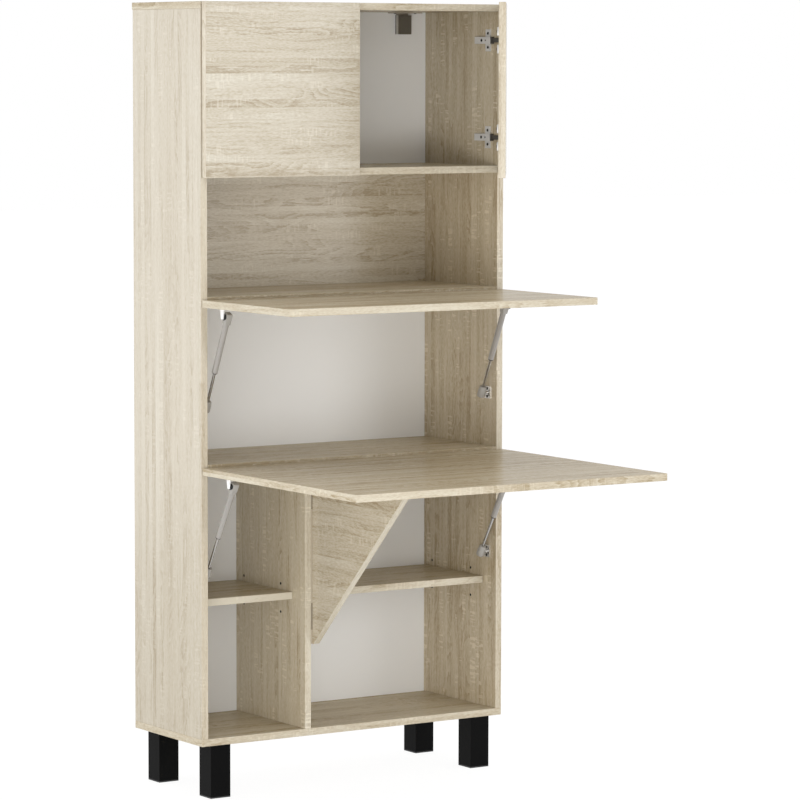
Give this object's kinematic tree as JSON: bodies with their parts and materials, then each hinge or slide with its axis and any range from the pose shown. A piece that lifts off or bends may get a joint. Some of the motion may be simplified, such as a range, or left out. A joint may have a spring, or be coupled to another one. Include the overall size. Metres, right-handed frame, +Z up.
{
  "type": "fold down desk cabinet",
  "caption": "Tall free-standing oak cabinet on square legs with hinged cupboard doors, an open niche, a shallow upper flap on gas struts and a deep desk flap that rests on a swing-out gusset.",
  "frame": {"origin": "on the floor, under the middle of the carcass between the four legs", "axes": "+X to the cabinet's right seen from the front, +Y to the wall behind it, +Z up"},
  "size_m": [0.8012, 0.9326, 1.755],
  "materials": {
    "oak_board": "pale oak laminate with a fine saw-cut grain",
    "white_sheet": "white lacquered hardboard",
    "black_steel": "matt black powder coat",
    "black_plastic": "moulded",
    "beech": "turned",
    "brown_plastic": "moulded",
    "white_metal": "white powder coat",
    "grey_plastic": "moulded",
    "grey_tube": "light grey paint",
    "bright_steel": "nickel plated"
  },
  "bodies": {
    "cabinet": {"bottom_panel": "oak_board", "carcass_dowels": "beech", "chipboard_screws": "bright_steel", "cupboard_back": "white_sheet", "cupboard_floor": "oak_board", "desk_shelf": "oak_board", "divider": "oak_board", "door_hinge_arms": "bright_steel", "door_hinge_plates": "bright_steel", "flap_hinge_arms": "bright_steel", "flap_hinge_plates": "bright_steel", "gusset_fixed_leaves": "bright_steel", "gusset_hinge_pins": "bright_steel", "left_lower_shelf": "oak_board", "left_side": "oak_board", "leg_back_left": "black_steel", "leg_back_right": "black_steel", "leg_bolts": "bright_steel", "leg_front_left": "black_steel", "leg_front_right": "black_steel", "leg_glides": "black_plastic", "lower_back": "white_sheet", "middle_back": "white_sheet", "middle_shelf": "oak_board", "niche_back": "oak_board", "right_lower_shelf": "oak_board", "right_side": "oak_board", "shelf_pins": "bright_steel", "strut_studs": "bright_steel", "top_panel": "oak_board", "wall_bracket_covers": "brown_plastic", "wall_brackets": "bright_steel"},
    "left_door": {"left_door": "oak_board", "left_door_hinge_cups": "bright_steel", "left_door_hinge_pins": "bright_steel"},
    "right_door": {"right_door": "oak_board", "right_door_hinge_cups": "bright_steel", "right_door_hinge_pins": "bright_steel"},
    "upper_flap": {"upper_flap": "oak_board", "upper_flap_hinge_cups": "bright_steel", "upper_flap_hinge_pins": "bright_steel", "upper_strut_brackets": "white_metal"},
    "lower_flap": {"lower_flap": "oak_board", "lower_flap_hinge_cups": "bright_steel", "lower_flap_hinge_pins": "bright_steel", "lower_strut_brackets": "white_metal"},
    "gusset": {"support_gusset": "oak_board", "gusset_moving_leaves": "bright_steel"},
    "upper_left_strut_rod": {"upper_left_strut_rod": "bright_steel", "upper_left_strut_socket": "grey_plastic"},
    "upper_left_strut_cylinder": {"upper_left_strut_cylinder": "grey_tube"},
    "upper_right_strut_rod": {"upper_right_strut_rod": "bright_steel", "upper_right_strut_socket": "grey_plastic"},
    "upper_right_strut_cylinder": {"upper_right_strut_cylinder": "grey_tube"},
    "lower_left_strut_rod": {"lower_left_strut_rod": "bright_steel", "lower_left_strut_socket": "grey_plastic"},
    "lower_left_strut_cylinder": {"lower_left_strut_cylinder": "grey_tube"},
    "lower_right_strut_rod": {"lower_right_strut_rod": "bright_steel", "lower_right_strut_socket": "grey_plastic"},
    "lower_right_strut_cylinder": {"lower_right_strut_cylinder": "grey_tube"}
  },
  "joints": [
    {"name": "left_door_swing", "type": "hinge", "parent": "cabinet", "child": "left_door", "pos_m": [-0.3901, -0.162, 1.5635], "axis": [0, 0, -1], "range_deg": [0, 95]},
    {"name": "right_door_swing", "type": "hinge", "parent": "cabinet", "child": "right_door", "pos_m": [0.3901, -0.162, 1.5635], "axis": [0, 0, 1], "range_deg": [-55, 40]},
    {"name": "upper_flap_fold", "type": "hinge", "parent": "cabinet", "child": "upper_flap", "pos_m": [0, -0.162, 1.098], "axis": [1, 0, 0], "range_deg": [0, 90]},
    {"name": "lower_flap_lift", "type": "hinge", "parent": "cabinet", "child": "lower_flap", "pos_m": [0, -0.162, 0.73], "axis": [-1, 0, 0], "range_deg": [0, 5]},
    {"name": "gusset_fold", "type": "hinge", "parent": "cabinet", "child": "gusset", "pos_m": [-0.1141, -0.146, 0.5247], "axis": [0, 0, 1], "range_deg": [0, 90]},
    {"name": "upper_left_strut_swing", "type": "hinge", "parent": "cabinet", "child": "upper_left_strut_rod", "pos_m": [-0.3665, -0.115, 0.867], "axis": [1, 0, 0], "range_deg": [-18.18, 0]},
    {"name": "upper_left_strut_slide", "type": "slide", "parent": "upper_left_strut_rod", "child": "upper_left_strut_cylinder", "axis": [0, -0.414, 0.9103], "range_m": [-0.03862, 0]},
    {"name": "upper_right_strut_swing", "type": "hinge", "parent": "cabinet", "child": "upper_right_strut_rod", "pos_m": [0.3665, -0.115, 0.867], "axis": [1, 0, 0], "range_deg": [-18.18, 0]},
    {"name": "upper_right_strut_slide", "type": "slide", "parent": "upper_right_strut_rod", "child": "upper_right_strut_cylinder", "axis": [0, -0.414, 0.9103], "range_m": [-0.03862, 0]},
    {"name": "lower_left_strut_swing", "type": "hinge", "parent": "cabinet", "child": "lower_left_strut_rod", "pos_m": [-0.3665, -0.115, 0.499], "axis": [1, 0, 0], "range_deg": [-0.391, 0]},
    {"name": "lower_left_strut_slide", "type": "slide", "parent": "lower_left_strut_rod", "child": "lower_left_strut_cylinder", "axis": [0, -0.503, 0.8643], "range_m": [0, 0.00664]},
    {"name": "lower_right_strut_swing", "type": "hinge", "parent": "cabinet", "child": "lower_right_strut_rod", "pos_m": [0.3665, -0.115, 0.499], "axis": [1, 0, 0], "range_deg": [-0.391, 0]},
    {"name": "lower_right_strut_slide", "type": "slide", "parent": "lower_right_strut_rod", "child": "lower_right_strut_cylinder", "axis": [0, -0.503, 0.8643], "range_m": [0, 0.00664]}
  ],
  "couplings": [
    {"joint": "upper_left_strut_swing", "follows": "upper_flap_fold", "ratio": -0.20146},
    {"joint": "upper_left_strut_slide", "follows": "upper_flap_fold", "m_per_rad": -0.024523},
    {"joint": "upper_right_strut_swing", "follows": "upper_flap_fold", "ratio": -0.20146},
    {"joint": "upper_right_strut_slide", "follows": "upper_flap_fold", "m_per_rad": -0.024523},
    {"joint": "lower_left_strut_swing", "follows": "lower_flap_lift", "ratio": -0.068216},
    {"joint": "lower_left_strut_slide", "follows": "lower_flap_lift", "m_per_rad": 0.074932},
    {"joint": "lower_right_strut_swing", "follows": "lower_flap_lift", "ratio": -0.068216},
    {"joint": "lower_right_strut_slide", "follows": "lower_flap_lift", "m_per_rad": 0.074932}
  ]
}
